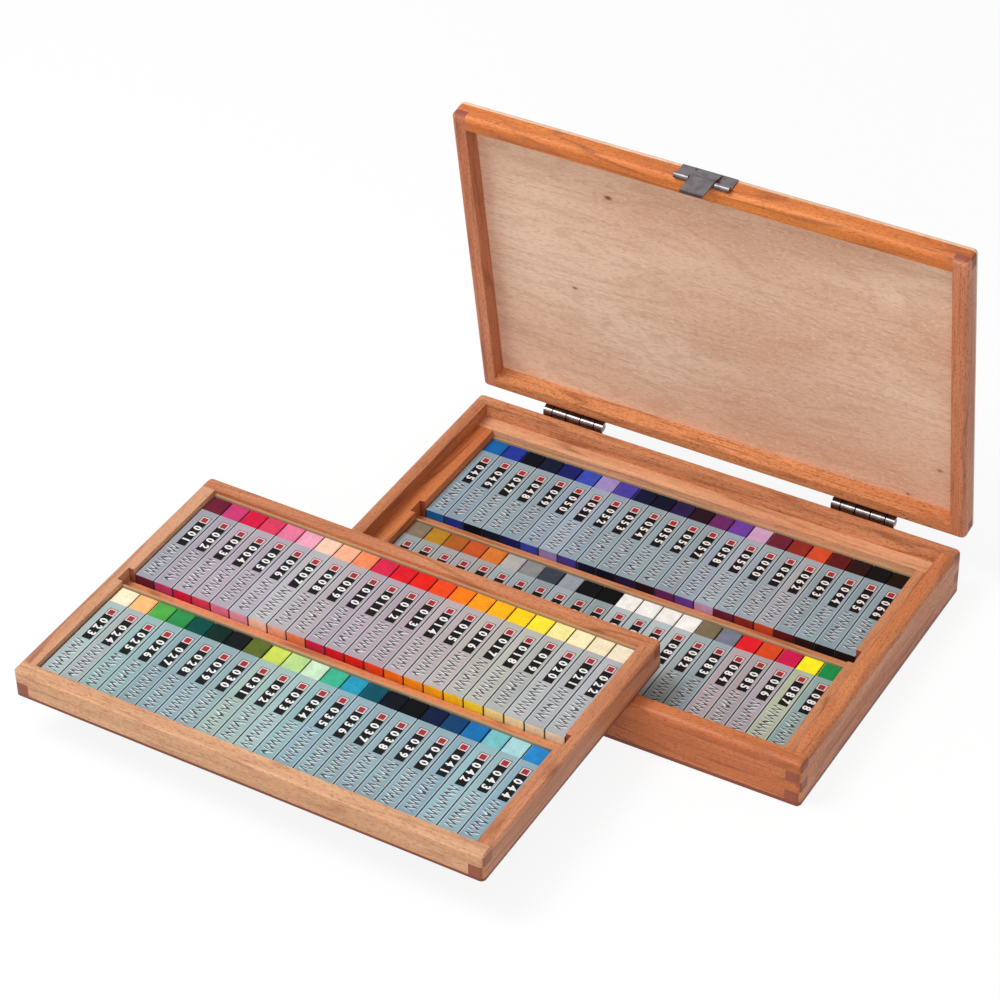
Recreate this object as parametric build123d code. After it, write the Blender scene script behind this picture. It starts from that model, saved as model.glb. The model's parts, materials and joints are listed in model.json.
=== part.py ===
from build123d import *
import os
from math import cos, radians, sin

# Wooden case for square pastel sticks, with a hinged lid and a lift-out tray.
# Millimetres. X runs along the long side, +Y towards the hinges, +Z up.
# The origin is the centre of the case's underside.

# ---- driving dimensions ----

# square sticks and their paper sleeves
STICK_SIDE = 11.0
STICK_LENGTH = 70.0
STICKS_PER_ROW = 22
STICK_GAP = 0.12
STICK_EDGE = 0.45
SLEEVE_PAPER = 0.12
BARE_END = 11.5
SIDE_PLAY = 0.24
END_PLAY = 0.7
CARD_THICKNESS = 1.0
CARD_HEIGHT = 11.6

# case
WALL = 8.0
BOTTOM_BOARD = 3.0
CASE_WALL_HEIGHT = 24.0
CASE_FINGER_ROWS = 4
LINER_RAIL = 9.0
LINER_HEIGHT = 15.5
DIVIDER_WIDTH = 9.0
CASE_DIVIDER_HEIGHT = 6.0
DADO_DEPTH = 3.0
DADO_PLAY = 0.4
CORNER_RADIUS = 2.5
RIM_RADIUS = 3.0
BOARD_EDGE = 0.8

# lid
LID_WALL_HEIGHT = 9.6
LID_FINGER_ROWS = 2
LID_PANEL = 2.9
LID_GAP = 0.7
LID_TOP_RADIUS = 2.0
LID_OPEN_ANGLE = 81.2

# tray
TRAY_PLAY = 0.75
TRAY_WALL = 8.0
TRAY_WALL_HEIGHT = 13.8
TRAY_FINGER_ROWS = 2
TRAY_BOTTOM = 2.5
TRAY_DIVIDER_HEIGHT = 5.6
TRAY_RIM_EDGE = 0.9

# where the tray lies: across the case's front rim, its front end a little lower
TRAY_SHIFT_X = -82.2
TRAY_BACK_OVERLAP = 33.5
TRAY_TILT = 1.5
TRAY_YAW = -0.9
TRAY_SEAT_GAP = 0.3

# butt hinges on the outer back face
HINGE_SPAN = 168.0
HINGE_LENGTH = 35.4
KNUCKLES = 5
END_KNUCKLE = 5.2
KNUCKLE_GAP = 0.2
KNUCKLE_RADIUS = 2.2
HINGE_PIN_RADIUS = 1.0
PIN_CLEARANCE = 0.05
HINGE_SHEET = 1.0
HINGE_AXIS_OFFSET = 2.4
CASE_LEAF_DROP = 14.0
LID_LEAF_RISE = 11.0
LEAF_CORNER = 1.5
HINGE_SCREW_INSET = 3.8

# latch on the lid's front face, catch on the case's front face
LATCH_WIDTH = 30.0
LATCH_PLATE_HEIGHT = 9.5
LATCH_SHEET = 0.8
LATCH_KNUCKLE_RADIUS = 1.6
LATCH_PIN_RADIUS = 0.7
LATCH_SIDE_KNUCKLE = 8.2
LATCH_PIN_RISE = 1.5
TONGUE_PLAY = 0.25
TONGUE_LENGTH = 12.0
TONGUE_TIP_WIDTH = 12.0
TONGUE_LIP = 1.2
CATCH_WIDTH = 16.0
CATCH_HEIGHT = 9.0
CATCH_TOP = 23.0
CATCH_RIDGE_WIDTH = 7.0
CATCH_RIDGE_RADIUS = 1.1
CATCH_SCREW_INSET = 2.3

# round-head screws
SCREW_HEAD_RADIUS = 1.7
SCREW_HEAD_HEIGHT = 0.8
SCREW_SHANK_RADIUS = 0.8
SCREW_LENGTH = 5.0
SCREW_CLEARANCE = 0.08
SHANK_SIDES = 8
HEAD_SIDES = 12

# ---- sizes that follow ----

ROW_WIDTH = STICKS_PER_ROW * STICK_SIDE + (STICKS_PER_ROW - 1) * STICK_GAP
ROW_DEPTH = STICK_LENGTH + CARD_THICKNESS + END_PLAY
POCKET_WIDTH = ROW_WIDTH + 2 * SIDE_PLAY
POCKET_DEPTH = 2 * ROW_DEPTH + DIVIDER_WIDTH
INNER_WIDTH = POCKET_WIDTH + 2 * LINER_RAIL
INNER_DEPTH = POCKET_DEPTH + 2 * LINER_RAIL
WIDTH = INNER_WIDTH + 2 * WALL
DEPTH = INNER_DEPTH + 2 * WALL
CASE_HEIGHT = BOTTOM_BOARD + CASE_WALL_HEIGHT
LEDGE_HEIGHT = BOTTOM_BOARD + LINER_HEIGHT
FRONT_FACE = -DEPTH / 2
BACK_FACE = DEPTH / 2

LID_RIM = CASE_HEIGHT + LID_GAP
LID_HEIGHT = LID_WALL_HEIGHT + LID_PANEL
HINGE_Y = BACK_FACE + HINGE_AXIS_OFFSET
HINGE_Z = CASE_HEIGHT + LID_GAP / 2

TRAY_WIDTH = INNER_WIDTH - 2 * TRAY_PLAY
TRAY_DEPTH = INNER_DEPTH - 2 * TRAY_PLAY
TRAY_HEIGHT = TRAY_BOTTOM + TRAY_WALL_HEIGHT
TRAY_Y = FRONT_FACE + TRAY_BACK_OVERLAP - TRAY_DEPTH / 2

LATCH_PIN_Y = FRONT_FACE - LATCH_KNUCKLE_RADIUS
LATCH_PIN_Z = LID_RIM + LATCH_PIN_RISE
LATCH_TOP = LATCH_PIN_Z + LATCH_PLATE_HEIGHT
TONGUE_HALF_WIDTH = LATCH_WIDTH / 2 - LATCH_SIDE_KNUCKLE - TONGUE_PLAY


# ---- small helpers ----

def block(low, high):
    """A box between two corners."""
    size = [b - a for a, b in zip(low, high)]
    middle = [(a + b) / 2 for a, b in zip(low, high)]
    return Pos(*middle) * Box(*size)


def rod_x(radius, x_low, x_high, y, z):
    """A round bar along X."""
    bar = Cylinder(radius, x_high - x_low)
    return Pos((x_low + x_high) / 2, y, z) * Rot(0, 90, 0) * bar


def facet_rod_y(radius, sides, y_low, y_high, x, z):
    """A many-sided bar along Y that fits inside a circle of the radius."""
    bar = extrude(RegularPolygon(radius, sides), y_high - y_low)
    return Pos(x, y_high, z) * Rot(90, 0, 0) * bar


def board(width, depth, height):
    """A bottom board with rounded upright corners and its lower edge eased."""
    body = Pos(0, 0, height / 2) * Box(width, depth, height)
    body = fillet(body.edges().filter_by(Axis.Z), CORNER_RADIUS)
    return chamfer(body.faces().sort_by(Axis.Z)[0].edges(), BOARD_EDGE)


def rounded_envelope(width, depth, height, corner, top=0.0, bottom=0.0):
    """The outer form of a frame: upright corners and long edges rounded over."""
    body = Pos(0, 0, height / 2) * Box(width, depth, height)
    body = fillet(body.edges().filter_by(Axis.Z), corner)
    if top:
        body = fillet(body.faces().sort_by(Axis.Z)[-1].edges(), top)
    if bottom:
        body = fillet(body.faces().sort_by(Axis.Z)[0].edges(), bottom)
    return body


def finger_frame(width, depth, height, wall, rows, envelope):
    """Four walls whose ends interlock in equal rows.

    In the top row the front and back walls run through to the corner, and the rows then take
    turns. The envelope gives all four their rounded outer form.
    """
    row = height / rows
    half_w, half_d = width / 2, depth / 2
    walls = {}
    for name, side in (("front", -1), ("back", 1), ("left", -1), ("right", 1)):
        is_long = name in ("front", "back")
        pieces = []
        for index in range(rows):
            z_high = height - index * row
            z_low = z_high - row
            long_through = index % 2 == 0
            if is_long:
                reach = half_w if long_through else half_w - wall
                y_inner, y_outer = side * (half_d - wall), side * half_d
                pieces.append(block((-reach, min(y_inner, y_outer), z_low),
                                    (reach, max(y_inner, y_outer), z_high)))
            else:
                reach = half_d - wall if long_through else half_d
                x_inner, x_outer = side * (half_w - wall), side * half_w
                pieces.append(block((min(x_inner, x_outer), -reach, z_low),
                                    (max(x_inner, x_outer), reach, z_high)))
        wall_solid = pieces[0]
        for piece in pieces[1:]:
            wall_solid = wall_solid + piece
        walls[name] = wall_solid & envelope
    return walls


def stick_row(y_back, z_floor):
    """One row of sticks and sleeves, lying along Y with their bare ends at the back.

    Each stick is a square bar with soft edges, and its sleeve is a crisp square tube.
    """
    sticks, sleeves = [], []
    core = STICK_SIDE - 2 * SLEEVE_PAPER
    z_mid = z_floor + STICK_SIDE / 2
    first = -ROW_WIDTH / 2 + STICK_SIDE / 2
    y_front = y_back - STICK_LENGTH
    for index in range(STICKS_PER_ROW):
        x = first + index * (STICK_SIDE + STICK_GAP)
        bar = Pos(x, (y_back + y_front) / 2, z_mid) * Box(core, STICK_LENGTH, core)
        outer = Pos(x, (y_back - BARE_END + y_front) / 2, z_mid) * Box(
            STICK_SIDE, STICK_LENGTH - BARE_END, STICK_SIDE)
        sticks.append(chamfer(bar.edges(), STICK_EDGE))
        sleeves.append(outer - bar)
    return Compound(children=sticks), Compound(children=sleeves)


def screw(head_at, direction_y):
    """A round-head screw whose head sits on a face and whose shank runs along Y into the wood."""
    x, y, z = head_at
    shank_end = y + direction_y * SCREW_LENGTH
    head_top = y - direction_y * SCREW_HEAD_HEIGHT
    shank = facet_rod_y(SCREW_SHANK_RADIUS, SHANK_SIDES, min(y, shank_end), max(y, shank_end), x, z)
    head = facet_rod_y(SCREW_HEAD_RADIUS, HEAD_SIDES, min(y, head_top), max(y, head_top), x, z)
    return shank + head


def screw_hole(head_at, direction_y):
    """The pilot hole for such a screw, through the sheet and into the wood."""
    x, y, z = head_at
    end = y + direction_y * (SCREW_LENGTH + SCREW_CLEARANCE)
    return facet_rod_y(SCREW_SHANK_RADIUS + SCREW_CLEARANCE, SHANK_SIDES, min(y, end), max(y, end), x, z)


# ---- case ----

def make_case():
    """Bottom board, finger-jointed walls, liner, divider, cards and two rows of sticks."""
    nodes = {}
    envelope = rounded_envelope(WIDTH, DEPTH, CASE_WALL_HEIGHT, CORNER_RADIUS, top=RIM_RADIUS)
    walls = finger_frame(WIDTH, DEPTH, CASE_WALL_HEIGHT, WALL, CASE_FINGER_ROWS, envelope)
    for name, wall in walls.items():
        nodes["case_" + name + "_wall"] = Pos(0, 0, BOTTOM_BOARD) * wall
    nodes["case_bottom_board"] = board(WIDTH, DEPTH, BOTTOM_BOARD)

    low, high = BOTTOM_BOARD, LEDGE_HEIGHT
    half_w, half_d = INNER_WIDTH / 2, INNER_DEPTH / 2
    pocket_w, pocket_d = POCKET_WIDTH / 2, POCKET_DEPTH / 2
    dado = DIVIDER_WIDTH / 2 + DADO_PLAY
    nodes["liner_back_rail"] = block((-half_w, pocket_d, low), (half_w, half_d, high))
    nodes["liner_front_rail"] = block((-half_w, -half_d, low), (half_w, -pocket_d, high))
    for name, side in (("left", -1), ("right", 1)):
        x_in, x_out = side * pocket_w, side * half_w
        rail = block((min(x_in, x_out), -pocket_d, low), (max(x_in, x_out), pocket_d, high))
        x_deep = side * (pocket_w + DADO_DEPTH)
        notch = block((min(x_in, x_deep), -dado, low), (max(x_in, x_deep), dado, high))
        nodes["liner_" + name + "_rail"] = rail - notch
    divider_reach = pocket_w + DADO_DEPTH
    nodes["liner_divider"] = block((-divider_reach, -DIVIDER_WIDTH / 2, low),
                                   (divider_reach, DIVIDER_WIDTH / 2, low + CASE_DIVIDER_HEIGHT))

    add_rows(nodes, ("row_c", "row_d"), "liner_card_strips", pocket_d, low, END_PLAY)
    return nodes


def add_rows(nodes, row_names, card_name, pocket_half_depth, floor, end_play):
    """Two rows of sticks, each behind a card strip at its back end, either side of a divider."""
    cards = []
    back_ends = (pocket_half_depth, -DIVIDER_WIDTH / 2)
    for row_name, back in zip(row_names, back_ends):
        cards.append(block((-ROW_WIDTH / 2, back - CARD_THICKNESS, floor),
                           (ROW_WIDTH / 2, back, floor + CARD_HEIGHT)))
        sticks, sleeves = stick_row(back - CARD_THICKNESS - end_play / 2, floor)
        nodes[row_name + "_sticks"] = sticks
        nodes[row_name + "_sleeves"] = sleeves
    nodes[card_name] = Compound(children=cards)


# ---- tray ----

def make_tray():
    """The tray in its own place: origin at the centre of its underside."""
    nodes = {}
    envelope = rounded_envelope(TRAY_WIDTH, TRAY_DEPTH, TRAY_WALL_HEIGHT, CORNER_RADIUS)
    envelope = chamfer(envelope.faces().sort_by(Axis.Z)[-1].edges(), TRAY_RIM_EDGE)
    walls = finger_frame(TRAY_WIDTH, TRAY_DEPTH, TRAY_WALL_HEIGHT, TRAY_WALL, TRAY_FINGER_ROWS,
                         envelope)
    pocket_w = TRAY_WIDTH / 2 - TRAY_WALL
    pocket_d = TRAY_DEPTH / 2 - TRAY_WALL
    dado = DIVIDER_WIDTH / 2 + DADO_PLAY
    for name, wall in walls.items():
        wall = Pos(0, 0, TRAY_BOTTOM) * wall
        if name in ("left", "right"):
            side = -1 if name == "left" else 1
            x_in, x_deep = side * pocket_w, side * (pocket_w + DADO_DEPTH)
            wall = wall - block((min(x_in, x_deep), -dado, TRAY_BOTTOM),
                                (max(x_in, x_deep), dado, TRAY_HEIGHT))
        nodes["tray_" + name + "_wall"] = wall
    nodes["tray_bottom_board"] = board(TRAY_WIDTH, TRAY_DEPTH, TRAY_BOTTOM)
    divider_reach = pocket_w + DADO_DEPTH
    nodes["tray_divider"] = block(
        (-divider_reach, -DIVIDER_WIDTH / 2, TRAY_BOTTOM),
        (divider_reach, DIVIDER_WIDTH / 2, TRAY_BOTTOM + TRAY_DIVIDER_HEIGHT))
    row_space = pocket_d - DIVIDER_WIDTH / 2
    end_play = row_space - STICK_LENGTH - CARD_THICKNESS
    add_rows(nodes, ("row_a", "row_b"), "tray_card_strips", pocket_d, TRAY_BOTTOM, end_play)
    return nodes


def tray_place():
    """Where the tray lies: its underside plane passes just above the case's front rim."""
    tilt = radians(TRAY_TILT)
    seat_y = FRONT_FACE + RIM_RADIUS
    seat_z = CASE_HEIGHT + TRAY_SEAT_GAP
    z = seat_z - (seat_y - TRAY_Y) * sin(tilt) / cos(tilt)
    return Pos(TRAY_SHIFT_X, TRAY_Y, z) * Rot(0, 0, TRAY_YAW) * Rot(TRAY_TILT, 0, 0)


# ---- hinges ----

def knuckle_spans(start):
    """The X limits of each knuckle along a hinge, with short ones at the two ends."""
    middle = (HINGE_LENGTH - 2 * END_KNUCKLE) / (KNUCKLES - 2)
    lengths = [END_KNUCKLE] + [middle] * (KNUCKLES - 2) + [END_KNUCKLE]
    spans = []
    x = start
    for length in lengths:
        spans.append((x + KNUCKLE_GAP / 2, x + length - KNUCKLE_GAP / 2))
        x += length
    return spans


def hinge_screw_places(centre_x, on_lid):
    """Screw heads on one leaf: three in a row on the case leaf, two on the lid leaf."""
    y = BACK_FACE + HINGE_SHEET
    if on_lid:
        z = LID_RIM + LID_LEAF_RISE - HINGE_SCREW_INSET
        offsets = (-HINGE_LENGTH / 4, HINGE_LENGTH / 4)
    else:
        z = HINGE_Z - CASE_LEAF_DROP + HINGE_SCREW_INSET
        offsets = (-HINGE_LENGTH / 3, 0, HINGE_LENGTH / 3)
    return [(centre_x + offset, y, z) for offset in offsets]


def hinge_leaf(centre_x, on_lid):
    """A leaf of sheet on the outer back face, rolled into every other knuckle."""
    start = centre_x - HINGE_LENGTH / 2
    spans = knuckle_spans(start)
    own = spans[1::2] if on_lid else spans[0::2]
    clear = KNUCKLE_RADIUS + KNUCKLE_GAP
    y_low, y_high = BACK_FACE, BACK_FACE + HINGE_SHEET
    if on_lid:
        z_low, z_high = HINGE_Z + clear, LID_RIM + LID_LEAF_RISE
        inner_edge, outer_corners = z_low, -1
    else:
        z_low, z_high = HINGE_Z - CASE_LEAF_DROP, HINGE_Z - clear
        inner_edge, outer_corners = z_high, 0
    leaf = block((start, y_low, z_low), (start + HINGE_LENGTH, y_high, z_high))
    leaf = fillet(leaf.edges().filter_by(Axis.Y).group_by(Axis.Z)[outer_corners], LEAF_CORNER)
    bore = rod_x(HINGE_PIN_RADIUS + PIN_CLEARANCE, start, start + HINGE_LENGTH, HINGE_Y, HINGE_Z)
    for x_low, x_high in own:
        barrel = rod_x(KNUCKLE_RADIUS, x_low, x_high, HINGE_Y, HINGE_Z)
        neck = block((x_low, y_low + KNUCKLE_GAP, min(HINGE_Z, inner_edge)),
                     (x_high, y_high, max(HINGE_Z, inner_edge)))
        leaf = leaf + barrel + neck
    leaf = leaf - bore
    for place in hinge_screw_places(centre_x, on_lid):
        leaf = leaf - screw_hole(place, -1)
    return leaf


def make_hinges():
    """Both hinges: leaves, pins and screws, apart for the case and for the lid."""
    case_nodes, lid_nodes = {}, {}
    pins, case_screws, lid_screws = [], [], []
    for name, side in (("left", -1), ("right", 1)):
        centre_x = side * HINGE_SPAN / 2
        case_nodes["hinge_case_leaf_" + name] = hinge_leaf(centre_x, False)
        lid_nodes["hinge_lid_leaf_" + name] = hinge_leaf(centre_x, True)
        half = HINGE_LENGTH / 2
        pins.append(rod_x(HINGE_PIN_RADIUS, centre_x - half, centre_x + half, HINGE_Y, HINGE_Z))
        case_screws += [screw(place, -1) for place in hinge_screw_places(centre_x, False)]
        lid_screws += [screw(place, -1) for place in hinge_screw_places(centre_x, True)]
    case_nodes["hinge_pins"] = Compound(children=pins)
    case_nodes["hinge_case_screws"] = Compound(children=case_screws)
    lid_nodes["hinge_lid_screws"] = Compound(children=lid_screws)
    return case_nodes, lid_nodes


# ---- latch ----

def latch_screw_places():
    """Two screw heads on the latch plate."""
    z = (LATCH_PIN_Z + LATCH_KNUCKLE_RADIUS + LATCH_TOP) / 2
    return [(side * LATCH_WIDTH / 3, FRONT_FACE - LATCH_SHEET, z) for side in (-1, 1)]


def catch_screw_places():
    """Two screw heads on the catch plate, either side of its ridge."""
    z = CATCH_TOP - CATCH_HEIGHT / 2
    reach = CATCH_WIDTH / 2 - CATCH_SCREW_INSET
    return [(side * reach, FRONT_FACE - LATCH_SHEET, z) for side in (-1, 1)]


def make_latch_plate():
    """The plate on the lid's front face: a rolled knuckle at each end, and a raised middle.

    The middle is pressed up to the level of the tongue, so that the two look like one strip.
    """
    half = LATCH_WIDTH / 2
    low = LATCH_PIN_Z + LATCH_KNUCKLE_RADIUS + TONGUE_PLAY
    outer = LATCH_PIN_Y - LATCH_KNUCKLE_RADIUS
    plate = block((-half, FRONT_FACE - LATCH_SHEET, low), (half, FRONT_FACE, LATCH_TOP))
    raised = block((-TONGUE_HALF_WIDTH, outer, low), (TONGUE_HALF_WIDTH, FRONT_FACE, LATCH_TOP))
    hollow_half = TONGUE_HALF_WIDTH - LATCH_SHEET
    hollow = block((-hollow_half, outer + LATCH_SHEET, low), (hollow_half, FRONT_FACE, LATCH_TOP))
    plate = plate + raised - hollow
    bore = rod_x(LATCH_PIN_RADIUS + PIN_CLEARANCE, -half, half, LATCH_PIN_Y, LATCH_PIN_Z)
    for side in (-1, 1):
        x_out, x_in = side * half, side * (half - LATCH_SIDE_KNUCKLE)
        x_low, x_high = min(x_in, x_out), max(x_in, x_out)
        plate = plate + rod_x(LATCH_KNUCKLE_RADIUS, x_low, x_high, LATCH_PIN_Y, LATCH_PIN_Z)
        plate = plate + block((x_low, FRONT_FACE - LATCH_SHEET, LATCH_PIN_Z), (x_high, FRONT_FACE, low))
    plate = plate - bore
    for place in latch_screw_places():
        plate = plate - screw_hole(place, 1)
    return plate


def make_latch_tongue():
    """The tongue: a rolled knuckle between the plate's, and a tapered sheet with a lifted lip."""
    half = TONGUE_HALF_WIDTH
    tip = TONGUE_TIP_WIDTH / 2
    outer = LATCH_PIN_Y - LATCH_KNUCKLE_RADIUS
    inner = outer + LATCH_SHEET
    bottom = LATCH_PIN_Z - TONGUE_LENGTH
    outline = Polyline((-half, LATCH_PIN_Z), (half, LATCH_PIN_Z), (tip, bottom), (-tip, bottom),
                       close=True)
    sheet = extrude(Plane.XZ.offset(-inner) * make_face(outline), LATCH_SHEET)
    knuckle = rod_x(LATCH_KNUCKLE_RADIUS, -half, half, LATCH_PIN_Y, LATCH_PIN_Z)
    lip = block((-tip, outer - TONGUE_LIP, bottom), (tip, outer, bottom + LATCH_SHEET))
    bore = rod_x(LATCH_PIN_RADIUS + PIN_CLEARANCE, -half, half, LATCH_PIN_Y, LATCH_PIN_Z)
    return sheet + knuckle + lip - bore


def make_latch_catch():
    """The catch: a small plate with a half-round ridge that the closed tongue presses on."""
    half = CATCH_WIDTH / 2
    plate = block((-half, FRONT_FACE - LATCH_SHEET, CATCH_TOP - CATCH_HEIGHT),
                  (half, FRONT_FACE, CATCH_TOP))
    ridge = rod_x(CATCH_RIDGE_RADIUS, -CATCH_RIDGE_WIDTH / 2, CATCH_RIDGE_WIDTH / 2,
                  FRONT_FACE - LATCH_SHEET, CATCH_TOP - CATCH_HEIGHT / 2)
    catch = plate + ridge
    catch = catch & block((-half, FRONT_FACE - DEPTH, 0), (half, FRONT_FACE, CASE_HEIGHT))
    for place in catch_screw_places():
        catch = catch - screw_hole(place, 1)
    return catch


# ---- lid, modelled shut ----

def make_lid():
    """Panel on top of a finger-jointed frame, with the latch plate and its pin."""
    nodes = {}
    envelope = rounded_envelope(WIDTH, DEPTH, LID_HEIGHT, CORNER_RADIUS, top=LID_TOP_RADIUS,
                                bottom=RIM_RADIUS)
    walls = finger_frame(WIDTH, DEPTH, LID_WALL_HEIGHT, WALL, LID_FINGER_ROWS, envelope)
    for name, wall in walls.items():
        nodes["lid_" + name + "_wall"] = Pos(0, 0, LID_RIM) * wall
    slab = Pos(0, 0, LID_WALL_HEIGHT + LID_PANEL / 2) * Box(WIDTH, DEPTH, LID_PANEL)
    nodes["lid_panel"] = Pos(0, 0, LID_RIM) * (slab & envelope)
    nodes["latch_plate"] = make_latch_plate()
    half = LATCH_WIDTH / 2
    nodes["latch_pin"] = rod_x(LATCH_PIN_RADIUS, -half, half, LATCH_PIN_Y, LATCH_PIN_Z)
    nodes["latch_plate_screws"] = Compound(
        children=[screw(place, 1) for place in latch_screw_places()])
    return nodes


# ---- assembly ----

def drill(nodes, wall, places, direction_y):
    """Pilot holes in a wall for the screws that it holds."""
    for place in places:
        nodes[wall] = nodes[wall] - screw_hole(place, direction_y)


def placed(place, shape):
    """A solid, or each solid of a group, moved to its place."""
    solids = [place * solid for solid in shape.solids()]
    return solids[0] if len(solids) == 1 else Compound(children=solids)


def make_model():
    """Every node at rest: case on the table, lid open, tray across the front rim."""
    case = make_case()
    lid = make_lid()
    case_hinges, lid_hinges = make_hinges()
    case.update(case_hinges)
    lid.update(lid_hinges)
    case["latch_catch"] = make_latch_catch()
    case["latch_catch_screws"] = Compound(
        children=[screw(place, 1) for place in catch_screw_places()])
    lid["latch_tongue"] = make_latch_tongue()
    for side in (-1, 1):
        centre_x = side * HINGE_SPAN / 2
        drill(case, "case_back_wall", hinge_screw_places(centre_x, False), -1)
        drill(lid, "lid_back_wall", hinge_screw_places(centre_x, True), -1)
    drill(case, "case_front_wall", catch_screw_places(), 1)
    drill(lid, "lid_front_wall", latch_screw_places(), 1)

    swing = Pos(0, HINGE_Y, HINGE_Z) * Rot(-LID_OPEN_ANGLE, 0, 0) * Pos(0, -HINGE_Y, -HINGE_Z)
    model = dict(case)
    for name, solid in lid.items():
        model[name] = placed(swing, solid)
    place = tray_place()
    for name, solid in make_tray().items():
        model[name] = placed(place, solid)
    return model


def main():
    """Write one STEP file for each node."""
    os.makedirs("parts", exist_ok=True)
    for name, solid in make_model().items():
        export_step(solid, "parts/" + name + ".step")
    print("case", round(WIDTH, 2), round(DEPTH, 2), round(CASE_HEIGHT, 2))
    print("tray", round(TRAY_WIDTH, 2), round(TRAY_DEPTH, 2), round(TRAY_HEIGHT, 2))
    print("hinge axis", round(HINGE_Y, 3), round(HINGE_Z, 3))
    print("latch pin when shut", round(LATCH_PIN_Y, 3), round(LATCH_PIN_Z, 3))
    print("tray centre", tray_place().position)


main()
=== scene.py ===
"""Looks of a wooden case of square pastel sticks, with its lid open and its tray laid in front."""
import json
import logging
import math
from dataclasses import dataclass, field
from enum import Enum
from typing import Any, Callable

import bmesh
import bpy
from bmesh.types import BMFace
from bpy.types import Material, Node, NodeSocket, NodeTree, Object
from mathutils import Euler, Matrix, Vector


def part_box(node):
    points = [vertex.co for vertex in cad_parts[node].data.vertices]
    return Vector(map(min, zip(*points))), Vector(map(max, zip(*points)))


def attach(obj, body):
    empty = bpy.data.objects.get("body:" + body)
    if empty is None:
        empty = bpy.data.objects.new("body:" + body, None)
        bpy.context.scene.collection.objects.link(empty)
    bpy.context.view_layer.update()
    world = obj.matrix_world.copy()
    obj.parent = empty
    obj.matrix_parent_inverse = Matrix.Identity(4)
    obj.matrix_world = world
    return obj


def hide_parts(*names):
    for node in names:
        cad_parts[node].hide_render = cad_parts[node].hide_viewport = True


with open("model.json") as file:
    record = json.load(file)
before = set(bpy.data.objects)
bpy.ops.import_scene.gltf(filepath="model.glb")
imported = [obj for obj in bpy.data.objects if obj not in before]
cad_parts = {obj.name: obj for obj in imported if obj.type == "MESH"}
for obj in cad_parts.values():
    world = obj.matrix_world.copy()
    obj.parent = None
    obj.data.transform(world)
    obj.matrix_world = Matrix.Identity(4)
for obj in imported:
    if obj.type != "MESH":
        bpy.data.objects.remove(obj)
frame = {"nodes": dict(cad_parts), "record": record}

LOG = logging.getLogger("pastel_case")
MM = 0.001
# how near a corner has to be to a plane, in mm, to count as on it
NEAR = 0.01
STICKS_PER_ROW = 22
# how far the timber pattern moves from one board's seed to the next, in metres
SEED_STEP = (0.37, 0.113, 0.071)


# ---- colours, nodes and patterns ----

def linear(code: str) -> tuple[float, float, float, float]:
    """Turn an sRGB hex colour into a linear one.

    Args:
        code: The colour as "#rrggbb".

    Returns:
        Red, green, blue and an alpha of 1, as the shaders take them.
    """
    channels = [int(code[i:i + 2], 16) / 255 for i in (1, 3, 5)]
    flat = [c / 12.92 if c <= 0.04045 else ((c + 0.055) / 1.055) ** 2.4 for c in channels]
    return (flat[0], flat[1], flat[2], 1.0)


def per_metre(size_mm: float) -> float:
    """Pattern scale that repeats a feature about every size_mm millimetres."""
    return 1.0 / (size_mm * MM)


def add(tree: NodeTree, kind: str, inputs: dict[Any, Any] | None = None,
        **settings: Any) -> Node:
    """Add one shader node, with its settings, values and links.

    Args:
        tree: The material's node tree.
        kind: The node's type name.
        inputs: Input name or number to a value, to the socket that feeds it, or to the node
            whose first output does.
        **settings: Properties of the node.

    Returns:
        The new node.
    """
    node = tree.nodes.new(kind)
    for name, value in settings.items():
        setattr(node, name, value)
    for key, value in (inputs or {}).items():
        source = value.outputs[0] if isinstance(value, Node) else value
        if isinstance(source, NodeSocket):
            tree.links.new(source, node.inputs[key])
        else:
            node.inputs[key].default_value = source
    return node


def new_material(name: str) -> tuple[Material, NodeTree]:
    """Start a material.

    Args:
        name: The real material and how it was made.

    Returns:
        The material and its empty tree.
    """
    material = bpy.data.materials.new(name)
    material.use_nodes = True
    material.node_tree.nodes.clear()
    return material, material.node_tree


def cover(piece: Object, material: Material) -> None:
    """Give a piece one finish all over."""
    piece.data.materials.clear()
    piece.data.materials.append(material)


@dataclass(frozen=True)
class Pattern:
    """One layer of noise in a finish.

    It is size_mm wide and times as long, along X. Noise at low gives least, and at high most.
    """

    size_mm: float
    times: float = 1.0
    detail: float = 3.0
    low: float = 0.0
    high: float = 1.0
    least: float = 0.0
    most: float = 1.0
    bend: float = 0.0


def draw_patterns(tree: NodeTree, points: Any,
                  patterns: dict[str, Pattern]) -> dict[str, Node]:
    """Draw all the layers of noise of a finish.

    Args:
        tree: The material's tree.
        points: The node or socket that gives the surface points.
        patterns: A name for each layer.

    Returns:
        For each name, the node that gives the layer's share.
    """
    shares = {}
    for name, pattern in patterns.items():
        drawn = add(tree, "ShaderNodeMapping",
                    {"Vector": points, "Scale": (1 / pattern.times, 1, 1)})
        noise = add(tree, "ShaderNodeTexNoise",
                    {"Vector": drawn, "Detail": pattern.detail, "Scale": per_metre(pattern.size_mm),
                     "Distortion": pattern.bend})
        shares[name] = add(tree, "ShaderNodeMapRange",
                           {"Value": noise, "From Min": pattern.low, "From Max": pattern.high,
                            "To Min": pattern.least, "To Max": pattern.most})
    return shares


# ---- how the bodies lie ----

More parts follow.
